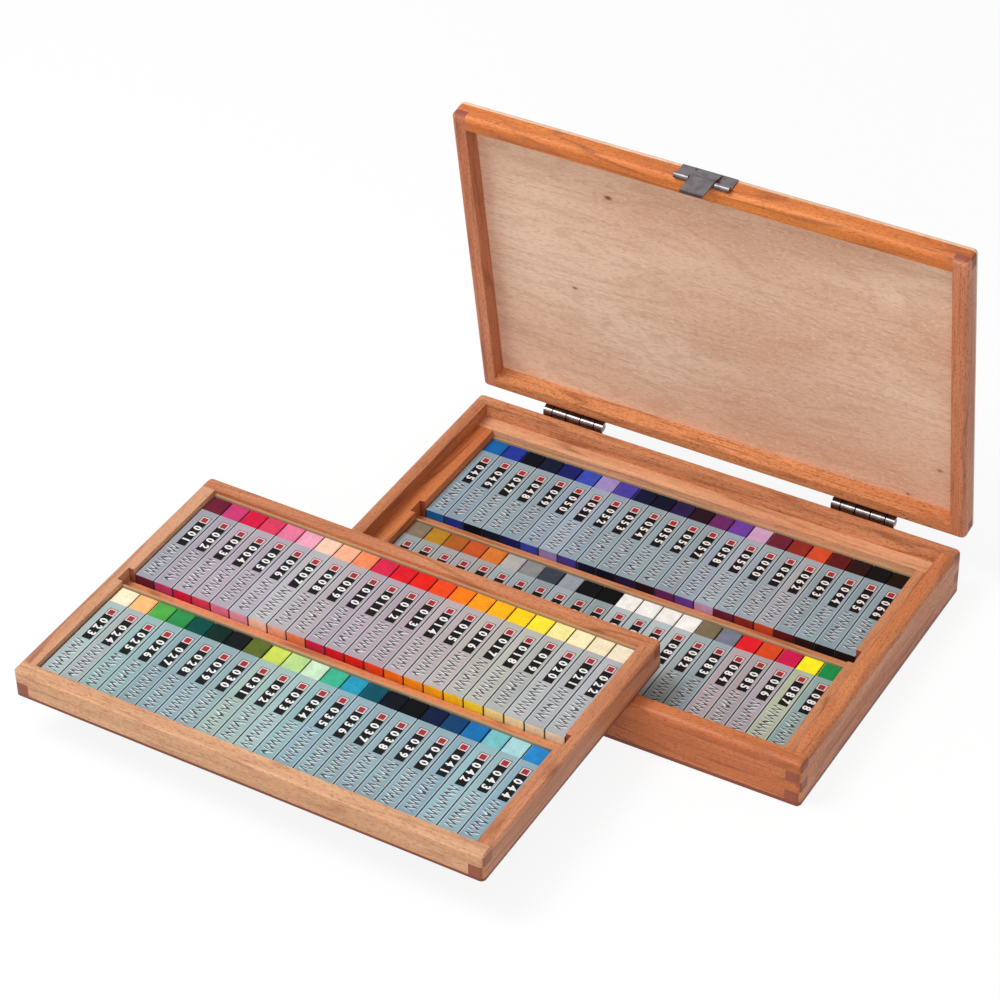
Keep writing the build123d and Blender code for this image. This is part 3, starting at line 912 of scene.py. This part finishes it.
class Sheet:
    """A piece of sheet metal, shaped by hand from a plain block. Sizes are in millimetres."""

    def __init__(self, name: str, low: tuple[float, float, float],
                 high: tuple[float, float, float]) -> None:
        """Start from a block.

        Args:
            name: The piece's name.
            low: Its lowest corner.
            high: Its highest corner.
        """
        bpy.ops.object.select_all(action="DESELECT")
        centre = [(l + h) / 2 * MM for l, h in zip(low, high)]
        size = [(h - l) * MM for l, h in zip(low, high)]
        bpy.ops.mesh.primitive_cube_add(size=1, location=centre, scale=size)
        bpy.ops.object.transform_apply(location=True, rotation=True, scale=True)
        self.piece = bpy.context.object
        self.piece.name = name

    def cut(self, axis: int, places: tuple[float, ...]) -> None:
        """Cut edges round the sheet, square to one axis.

        Args:
            axis: 0, 1 or 2 for X, Y or Z.
            places: Where to cut.
        """
        normal = [0.0, 0.0, 0.0]
        normal[axis] = 1.0
        bpy.ops.object.mode_set(mode="EDIT")
        for place in places:
            bpy.ops.mesh.select_all(action="SELECT")
            bpy.ops.mesh.bisect(plane_co=[n * place * MM for n in normal], plane_no=normal)
        bpy.ops.object.mode_set(mode="OBJECT")

    def pick(self, rule: Callable[[Vector], bool]) -> None:
        """Go to edit mode with only some corners selected.

        Args:
            rule: Says of a corner, in millimetres, whether it is selected.
        """
        select_only(self.piece)
        bpy.ops.object.mode_set(mode="EDIT")
        bpy.ops.mesh.select_mode(type="VERT")
        bpy.ops.mesh.select_all(action="DESELECT")
        mesh = bmesh.from_edit_mesh(self.piece.data)
        for corner in mesh.verts:
            corner.select = rule(corner.co / MM)
        mesh.select_flush(True)
        bmesh.update_edit_mesh(self.piece.data)

    def move(self, shift: tuple[float, float, float], rule: Callable[[Vector], bool]) -> None:
        """Move the corners that a rule picks.

        Args:
            shift: How far to move them.
            rule: Says of a corner, in millimetres, whether it moves.
        """
        self.pick(rule)
        bpy.ops.transform.translate(value=[step * MM for step in shift])
        bpy.ops.object.mode_set(mode="OBJECT")

    def draw_out(self, shift: tuple[float, float, float], rule: Callable[[Vector], bool]) -> None:
        """Extrude the faces whose corners a rule picks.

        Args:
            shift: How far to draw them out.
            rule: Says of a corner, in millimetres, whether it belongs to them.
        """
        self.pick(rule)
        bpy.ops.mesh.extrude_region_move(
            TRANSFORM_OT_translate={"value": [step * MM for step in shift]})
        bpy.ops.object.mode_set(mode="OBJECT")

    def open_slot(self, x_low: float, x_high: float, z_top: float) -> None:
        """Cut a slot up from the lower edge, through the sheet, between edges already there.

        Args:
            x_low: One side of the slot.
            x_high: Its other side.
            z_top: Its closed end.
        """
        def in_slot(face: BMFace) -> bool:
            """Whether a face lies inside the slot."""
            centre = face.calc_center_median() / MM
            return x_low < centre.x < x_high and centre.z < z_top

        pick_faces(self.piece, in_slot)
        bpy.ops.mesh.delete(type="FACE")
        bpy.ops.object.mode_set(mode="OBJECT")
        for wall in (lambda p: abs(p.x - x_low) < NEAR and p.z < z_top + NEAR,
                     lambda p: abs(p.x - x_high) < NEAR and p.z < z_top + NEAR,
                     lambda p: abs(p.z - z_top) < NEAR and x_low - NEAR < p.x < x_high + NEAR):
            self.pick(wall)
            bpy.ops.mesh.edge_face_add()
            bpy.ops.mesh.select_all(action="SELECT")
            bpy.ops.mesh.normals_make_consistent(inside=False)
            bpy.ops.object.mode_set(mode="OBJECT")

    def soften(self, width_mm: float) -> None:
        """Round all sharp edges a little and shade the curved faces smooth.

        Args:
            width_mm: How wide the rounding is.
        """
        select_only(self.piece)
        bevel = self.piece.modifiers.new("edge", "BEVEL")
        bevel.width = width_mm * MM
        bevel.segments = 2
        bevel.limit_method = "ANGLE"
        bevel.angle_limit = math.radians(35)
        bpy.ops.object.modifier_apply(modifier=bevel.name)
        bpy.ops.object.shade_smooth_by_angle(angle=math.radians(30))


@dataclass
class Hinges:
    """The two hinges at the back.

    The edges of their leaves are cut close round the other leaf's knuckles, so that no light
    shows. They are shaped with the lid shut, in millimetres.
    """

    case_lie: Lie
    lid_lie: Lie
    span: float = 168.0
    length: float = 35.4
    end_knuckle: float = 5.2
    knuckle_gap: float = 0.2
    back_face: float = 93.2
    sheet: float = 1.0
    # where the sheet is cut, out from the wood, to follow the round of the knuckle
    cuts: tuple[float, ...] = (0.2, 0.6)
    axis_y: float = 95.6
    axis_z: float = 27.35
    clear_radius: float = 2.4
    feather: float = 0.35
    case_steel: Material = field(init=False)
    lid_steel: Material = field(init=False)

    def __post_init__(self) -> None:
        """Make the steel of both leaves, with painted shade where two knuckles meet."""
        seams = tuple(self.span / 2 - self.length / 2 + end for end in self.knuckle_ends()[1:-1])
        self.case_steel = SheetSteel("steel_hinge_polished_dark", "#8a8384", "#4a4445", 0.22,
                                     seams_mm=seams).material(self.case_lie, self.lid_lie.origin.z)
        self.lid_steel = SheetSteel("steel_hinge_lid_polished_dark", "#8a8384", "#4a4445", 0.22,
                                    seams_mm=seams).material(self.lid_lie)

    def knuckle_ends(self) -> list[float]:
        """Where the knuckles start and end, from one end of a hinge."""
        middle = (self.length - 2 * self.end_knuckle) / 3
        return [0.0, self.end_knuckle, self.end_knuckle + middle, self.end_knuckle + 2 * middle,
                self.length - self.end_knuckle, self.length]

    def dress(self) -> None:
        """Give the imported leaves, pins and screws their steel."""
        for node_name in ("hinge_case_leaf_left", "hinge_case_leaf_right", "hinge_pins",
                          "hinge_case_screws"):
            cover(frame["nodes"][node_name], self.case_steel)
        for node_name in ("hinge_lid_leaf_left", "hinge_lid_leaf_right", "hinge_lid_screws"):
            cover(frame["nodes"][node_name], self.lid_steel)

    def build(self) -> None:
        """Shape the edges of both leaves of both hinges."""
        ends = self.knuckle_ends()
        spans = list(zip(ends[:-1], ends[1:]))
        for body, own, lie, steel in (("case", spans[1::2], self.case_lie, self.case_steel),
                                      ("lid", spans[0::2], self.lid_lie, self.lid_steel)):
            pieces = []
            for side in (-1, 1):
                origin = side * self.span / 2 - self.length / 2
                for low, high in own:
                    x_low = max(low - self.knuckle_gap / 2, 0.0) + origin
                    x_high = min(high + self.knuckle_gap / 2, self.length) + origin
                    pieces.append(self.edge(x_low, x_high, 1 if body == "lid" else -1))
            piece = join(pieces, f"hinge_{body}_leaf_edges")
            piece.data.transform(lie.swing())
            cover(piece, steel)
            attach(piece, body)
            LOG.info("shaped %s", piece.name)

    def edge(self, x_low: float, x_high: float, side: int) -> Object:
        """Shape the hollowed edge of one leaf below or above one knuckle.

        Args:
            x_low: Where the knuckle's place starts.
            x_high: Where it ends.
            side: 1 for the lid's leaf, above the pin, and -1 for the case's leaf, below it.

        Returns:
            The edge.
        """
        far, near = (self.axis_z + side * reach for reach in (self.clear_radius, self.feather))
        sheet = Sheet("leaf_edge", (x_low, self.back_face, min(far, near)),
                      (x_high, self.back_face + self.sheet, max(far, near)))
        sheet.cut(1, tuple(self.back_face + cut for cut in self.cuts))
        for out in self.cuts + (self.sheet,):
            y = self.back_face + out
            height = math.sqrt(self.clear_radius ** 2 - (self.axis_y - y) ** 2)
            sheet.move((0, 0, side * (height - self.feather)),
                       lambda p, y=y: abs(p.y - y) < NEAR and abs(p.z - near) < NEAR)
        return sheet.piece


@dataclass
class Latch:
    """The latch: a plate on the lid, the tongue that swings on its pin, and the catch it snaps on.

    The plate has two ears with knuckles and a pressed middle. The middle ramps up from the ears'
    level at the top edge to the tongue's level at the pin, so that plate and tongue look like one
    strip. All is shaped with the lid shut, in millimetres.
    """

    lie: Lie
    catch_steel: Material
    finish: SheetSteel = SheetSteel("steel_latch_rolled_dull", "#7e777a", "#544c50", 0.36)
    half_width: float = 15.0
    middle_half: float = 6.55
    slit_width: float = 0.6
    slit_top: float = 38.0
    front_face: float = -93.2
    sheet: float = 0.8
    pin_y: float = -94.8
    pin_z: float = 29.2
    knuckle_radius: float = 1.6
    bore_radius: float = 0.75
    low: float = 31.05
    top: float = 38.7
    # the swung tongue's sheet passes 1.6 above the pin, so the lip stays higher than that
    lip_above_pin: float = 1.67
    lip_back_above_pin: float = 2.1
    plate_softening: float = 0.1
    crest_height: float = 1.5
    crest_depth: float = 0.4
    crest_softening: float = 0.04
    rivet_x: float = 10.0
    rivet_z: float = 34.75
    rivet_radius: float = 1.3
    rivet_length: float = 0.7
    rivet_proud: float = 0.02
    # the head's rounding takes up this share of its radius
    rivet_rounding: float = 0.35

    def build(self) -> None:
        """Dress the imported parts, then shape the plate, the crest and the rivets in their place."""
        steel = self.finish.material(self.lie)
        for node_name in ("latch_plate", "latch_pin", "latch_plate_screws", "latch_tongue"):
            cover(frame["nodes"][node_name], steel)
        for node_name in ("latch_catch", "latch_catch_screws"):
            cover(frame["nodes"][node_name], self.catch_steel)
        pressed, crest = self.plate(), self.crest()
        rivets = join([self.rivet(-self.rivet_x), self.rivet(self.rivet_x)],
                      "latch_plate_rivets_flush")
        for piece, body in ((pressed, "lid"), (crest, "latch_tongue"), (rivets, "lid")):
            piece.data.transform(self.lie.swing())
            cover(piece, steel)
            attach(piece, body)
            LOG.info("shaped %s", piece.name)
        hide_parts("latch_plate")
        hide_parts("latch_plate_screws")

    def plate(self) -> Object:
        """Slit the plate, ramp its middle up, draw its ears down and roll a knuckle on each.

        Returns:
            The plate with its knuckles.
        """
        outer = self.front_face - self.sheet
        shoulder = self.middle_half + self.slit_width
        plate = Sheet("latch_plate_pressed", (-self.half_width, outer, self.low),
                      (self.half_width, self.front_face, self.top))
        plate.cut(0, (-shoulder, -self.middle_half, self.middle_half, shoulder))
        plate.cut(2, (self.slit_top,))
        plate.open_slot(-shoulder, -self.middle_half, self.slit_top)
        plate.open_slot(self.middle_half, shoulder, self.slit_top)
        plate.draw_out((0, 0, self.pin_z - self.low),
                       lambda p: p.z < self.low + NEAR and abs(p.x) > shoulder - NEAR)
        rise = self.pin_y - self.knuckle_radius - outer
        for face, lip in ((outer, self.lip_above_pin), (self.front_face, self.lip_back_above_pin)):
            plate.move((0, rise, self.pin_z + lip - self.low),
                       lambda p, face=face: abs(p.z - self.low) < NEAR and abs(p.y - face) < NEAR
                       and abs(p.x) < self.middle_half + NEAR)
        plate.soften(self.plate_softening)
        knuckles = [self.knuckle(-self.half_width, -shoulder),
                    self.knuckle(shoulder, self.half_width)]
        return join([plate.piece] + knuckles, "latch_plate_pressed")

    def knuckle(self, x_low: float, x_high: float) -> Object:
        """Roll a knuckle: a short tube round the pin.

        Args:
            x_low: Where it starts.
            x_high: Where it ends.

        Returns:
            The knuckle.
        """
        bpy.ops.object.select_all(action="DESELECT")
        bpy.ops.mesh.primitive_cylinder_add(
            vertices=32, radius=self.knuckle_radius * MM, depth=(x_high - x_low) * MM,
            location=((x_low + x_high) / 2 * MM, self.pin_y * MM, self.pin_z * MM),
            rotation=(0, math.pi / 2, 0))
        bpy.ops.object.transform_apply(location=True, rotation=True, scale=True)
        tube = bpy.context.object
        tube.name = "knuckle"
        pick_faces(tube, lambda face: abs(face.normal.x) > 0.9)
        bpy.ops.mesh.inset(thickness=(self.knuckle_radius - self.bore_radius) * MM,
                           use_individual=True)
        bpy.ops.mesh.bridge_edge_loops()
        bpy.ops.object.mode_set(mode="OBJECT")
        select_only(tube)
        bpy.ops.object.shade_smooth_by_angle(angle=math.radians(30))
        return tube

    def crest(self) -> Object:
        """Shape the crest that fills the groove between the tongue's knuckle and the plate.

        Returns:
            The crest.
        """
        outer = self.pin_y - self.knuckle_radius
        crest = Sheet("latch_tongue_crest", (-self.middle_half, outer, self.pin_z),
                      (self.middle_half, outer + self.crest_depth, self.pin_z + self.crest_height))
        crest.soften(self.crest_softening)
        return crest.piece

    def rivet(self, x: float) -> Object:
        """Shape a rivet whose head is ground almost flush with the plate.

        Args:
            x: Its place along the plate.

        Returns:
            The rivet.
        """
        middle = self.front_face - self.sheet - self.rivet_proud + self.rivet_length / 2
        bpy.ops.object.select_all(action="DESELECT")
        bpy.ops.mesh.primitive_cylinder_add(
            vertices=28, radius=self.rivet_radius * MM, depth=self.rivet_length * MM,
            location=(x * MM, middle * MM, self.rivet_z * MM), rotation=(math.pi / 2, 0, 0))
        bpy.ops.object.transform_apply(location=True, rotation=True, scale=True)
        head = bpy.context.object
        pick_faces(head, lambda face: face.normal.y < -0.9)
        bpy.ops.mesh.inset(thickness=self.rivet_radius * self.rivet_rounding * MM)
        bpy.ops.transform.translate(value=(0, -self.rivet_proud * MM, 0))
        bpy.ops.object.mode_set(mode="OBJECT")
        bpy.ops.object.shade_smooth_by_angle(angle=math.radians(40))
        return head


# ---- sticks: the assortment, one colour to a stick, from the left ----

ROW_A = ("#6b2034", "#c43c70", "#d21e42", "#d8405e", "#e4789a", "#e8a0b6", "#f6cab0", "#f4b08e",
         "#f08a5c", "#d42a4c", "#dd1f2c", "#e3261e", "#ee4a22", "#f57a1c", "#f99a1e", "#fbb41c",
         "#fcd020", "#fbe23c", "#f8eb9c", "#f5e8b8", "#efe0bc", "#efe3c8")
ROW_B = ("#f3e7c4", "#f2b878", "#4fa648", "#2f8a4a", "#0f4a44", "#122a24", "#15181a", "#5c6a2c",
         "#c9d85a", "#b7d98a", "#c9e6c4", "#3fb08c", "#2a94b4", "#12505e", "#0e141e", "#0c0d10",
         "#141e3c", "#15406a", "#1d6fae", "#74bcc0", "#a6d2d8", "#2a84c4")
ROW_C = ("#1a66ac", "#27389a", "#0d0e1c", "#141c34", "#1b2266", "#3a4cb4", "#9a8cc8", "#4a3fa0",
         "#151736", "#12122a", "#2c1f4a", "#2a1420", "#6a2a66", "#6b3fa0", "#c9a0c4", "#6a2438",
         "#8e2e24", "#d04e2c", "#5e1c1c", "#2c1614", "#141012", "#20140f")
ROW_D = ("#8a7a66", "#b8862c", "#b0602c", "#c8582c", "#d87a34", "#b4b4b2", "#8a8c8e", "#3c4450",
         "#98a0aa", "#101114", "#0c0c0e", "#f6f6f2", "#f6f6f2", "#f4f4f0", "#f6f6f2", "#7a6c54",
         "#767a8c", "#e0202a", "#d84a24", "#ce1c50", "#fbf024", "#1f8c48")


@dataclass
class StickRow:
    """One row of sticks in printed sleeves, each sleeve with its plain number."""

    name: str
    body: str
    lie: Lie
    colours: tuple[str, ...]
    paper: SilverPaper
    first_number: int
    digit_height_mm: float = 4.3
    # a font's size over the height of its digits
    digit_size: float = 1.4
    digit_space: float = 1.7
    digit_swell_mm: float = 0.2
    ink_mm: float = 0.02

    def place(self) -> RowPlace:
        """Measure the row from its packed sleeves."""
        low, high = self.lie.local_box(f"{self.name}_sleeves")
        return RowPlace(low.x, high.x, high.y, high.z)

    def dress(self) -> None:
        """Give the sticks and their sleeves their finishes."""
        for node_name, finish in ((f"{self.name}_sticks", PressedPastel()),
                                  (f"{self.name}_sleeves", self.paper)):
            cover(frame["nodes"][node_name],
                  finish.material(self.name, self.lie, self.place(), self.colours))
            LOG.info("dressed %s", node_name)

    def build(self, ink: Material) -> None:
        """Print each stick's number on the dark bar of its sleeve.

        Args:
            ink: The white of the numbers.
        """
        place, paper = self.place(), self.paper
        square_end = paper.bar_start_mm + paper.square_margin_mm + paper.square_side_mm
        bar_mid = (square_end + paper.bar_start_mm + paper.bar_length_mm) / 2 * MM
        numbers = []
        for index in range(STICKS_PER_ROW):
            x = place.left + (index + 0.5) * place.pitch + paper.bar_side_step_mm * MM
            spot = Vector((x, place.sleeve_back - bar_mid, place.top + self.ink_mm * MM))
            numbers.append(self.number(f"{self.first_number + index:03d}", spot))
        print_piece = join(numbers, f"{self.name}_numbers")
        cover(print_piece, ink)
        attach(print_piece, self.body)
        LOG.info("numbered %s", self.name)

    def number(self, digits: str, spot: Vector) -> Object:
        """Make one number as a thin raised mesh that reads along the stick.

        Args:
            digits: The number.
            spot: Its centre, in the body's own frame.

        Returns:
            The number's mesh, in place in the row frame.
        """
        bpy.ops.object.select_all(action="DESELECT")
        bpy.ops.object.text_add(location=(0, 0, 0))
        text = bpy.context.object.data
        text.body = digits
        text.align_x = "CENTER"
        text.align_y = "CENTER"
        text.size = self.digit_height_mm * MM * self.digit_size
        text.space_character = self.digit_space
        text.extrude = self.ink_mm * MM / 2
        text.offset = self.digit_swell_mm * MM
        text.resolution_u = 2
        bpy.ops.object.convert(target="MESH")
        piece = bpy.context.object
        turn = Matrix.Rotation(-math.pi / 2, 4, "Z")
        piece.data.transform(self.lie.matrix() @ Matrix.Translation(spot) @ turn)
        return piece


# ---- studio ----

@dataclass(frozen=True)
class Lamp:
    """A square area light: where it hangs and how wide it is, in metres, and its power."""

    name: str
    place: tuple[float, float, float]
    size: float
    watts: float


@dataclass
class Studio:
    """Floor, light and camera."""

    camera_place: tuple[float, float, float] = (0.622943, -1.20949, 1.118882)
    camera_turn_deg: tuple[float, float, float] = (52.33, 0.559, 29.551)
    lens_mm: float = 125.315
    sensor_mm: float = 36.0
    floor_size: float = 12.0
    floor_drop: float = 0.0002
    floor_glow: float = 0.88
    # a key at the front left, and a low wide fill from the front
    lamps: tuple[Lamp, ...] = (Lamp("key", (-0.7, -0.6, 1.6), 0.8, 20.0),
                               Lamp("fill", (0.5, -1.7, 0.75), 1.2, 11.0))
    aim: tuple[float, float, float] = (0, -0.03, 0.05)
    sky_strength: float = 0.44

    def build(self) -> None:
        """Set up the whole studio."""
        self.floor()
        self.light()
        self.sky()
        self.camera()
        bpy.context.scene.view_settings.view_transform = "Standard"

    def seen(self, tree: NodeTree) -> NodeSocket:
        """Mark the rays by which the camera sees a thing, straight, mirrored or through glass.

        Args:
            tree: The node tree to add to.

        Returns:
            1 for those rays, and 0 for the rest.
        """
        path = add(tree, "ShaderNodeLightPath")
        seen = path.outputs["Is Camera Ray"]
        for ray in ("Is Glossy Ray", "Is Transmission Ray"):
            seen = add(tree, "ShaderNodeMath", {0: seen, 1: path.outputs[ray]},
                       operation="MAXIMUM").outputs["Value"]
        return seen

    def floor(self) -> None:
        """Lay a plain pale floor that shows white to the camera and keeps the object's shadow."""
        bpy.ops.object.select_all(action="DESELECT")
        bpy.ops.mesh.primitive_plane_add(size=self.floor_size, location=(0, 0, -self.floor_drop))
        floor = bpy.context.object
        floor.name = "floor"
        material, tree = new_material("floor_paper_white")
        camera_ray = add(tree, "ShaderNodeLightPath").outputs["Is Camera Ray"]
        shown = add(tree, "ShaderNodeMix", {0: camera_ray, 6: linear("#cfcecb"),
                                            7: linear("#ffffff")}, data_type="RGBA").outputs[2]
        share = add(tree, "ShaderNodeMath", {0: self.seen(tree), 1: self.floor_glow},
                    operation="MULTIPLY")
        mixed = add(tree, "ShaderNodeMixShader",
                    {0: share, 1: add(tree, "ShaderNodeBsdfDiffuse", {"Color": shown}),
                     2: add(tree, "ShaderNodeEmission", {"Color": linear("#ffffff")})})
        add(tree, "ShaderNodeOutputMaterial", {"Surface": mixed})
        cover(floor, material)

    def light(self) -> None:
        """Hang the lamps and aim them at the object."""
        for lamp in self.lamps:
            light = bpy.data.lights.new(lamp.name, "AREA")
            light.size = lamp.size
            light.energy = lamp.watts
            holder = bpy.data.objects.new(lamp.name, light)
            holder.location = lamp.place
            aim = Vector(self.aim) - Vector(lamp.place)
            holder.rotation_euler = aim.to_track_quat("-Z", "Y").to_euler()
            bpy.context.scene.collection.objects.link(holder)

    def sky(self) -> None:
        """Hang a pale sky that is white where the camera sees it."""
        world = bpy.data.worlds.new("studio")
        bpy.context.scene.world = world
        world.use_nodes = True
        tree = world.node_tree
        tree.nodes.clear()
        strength = add(tree, "ShaderNodeMapRange", {"Value": self.seen(tree),
                                                    "To Min": self.sky_strength})
        sky = add(tree, "ShaderNodeBackground", {"Color": linear("#ffffff"), "Strength": strength})
        add(tree, "ShaderNodeOutputWorld", {"Surface": sky})

    def camera(self) -> None:
        """Stand the camera where the photograph was taken from."""
        lens = bpy.data.cameras.new("camera")
        lens.lens = self.lens_mm
        lens.sensor_width = self.sensor_mm
        lens.clip_end = 50
        holder = bpy.data.objects.new("camera", lens)
        holder.location = self.camera_place
        holder.rotation_euler = Euler([math.radians(angle) for angle in self.camera_turn_deg])
        bpy.context.scene.collection.objects.link(holder)
        bpy.context.scene.camera = holder


def main() -> None:
    """Dress the case, the lid and the tray, and set up the studio."""
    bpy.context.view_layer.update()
    # cream card strips, matt with a faint fibre, and the white of the numbers, a little uneven
    card = PlainStock("cream_card_cut", "#b8946e", Pattern(0.5, least=0.88, most=1.06),
                      0.9).material()
    ink = PlainStock("white_ink_printed", "#eeeeec", Pattern(0.5, 1, 2, least=0.85, most=1.05),
                     0.6).material()
    case, lid, tray = Case(), Lid(), Tray()
    case.dress(card)
    lid.dress()
    tray.dress(card)
    hinges = Hinges(case.lie, lid.lie)
    hinges.dress()
    Latch(lid.lie, hinges.case_steel).build()
    hinges.build()
    for row in (StickRow("row_a", "tray", tray.lie, ROW_A, SilverPaper("#a3a8b2"), 1),
                StickRow("row_b", "tray", tray.lie, ROW_B, SilverPaper("#94aeb6"), 23),
                StickRow("row_c", "case", case.lie, ROW_C, SilverPaper("#96acb6"), 45),
                StickRow("row_d", "case", case.lie, ROW_D, SilverPaper("#9fb0b6", tint=0.2), 67)):
        row.dress()
        row.build(ink)

    Studio().build()


if __name__ == "__main__":
    logging.basicConfig(level=logging.INFO)
    main()
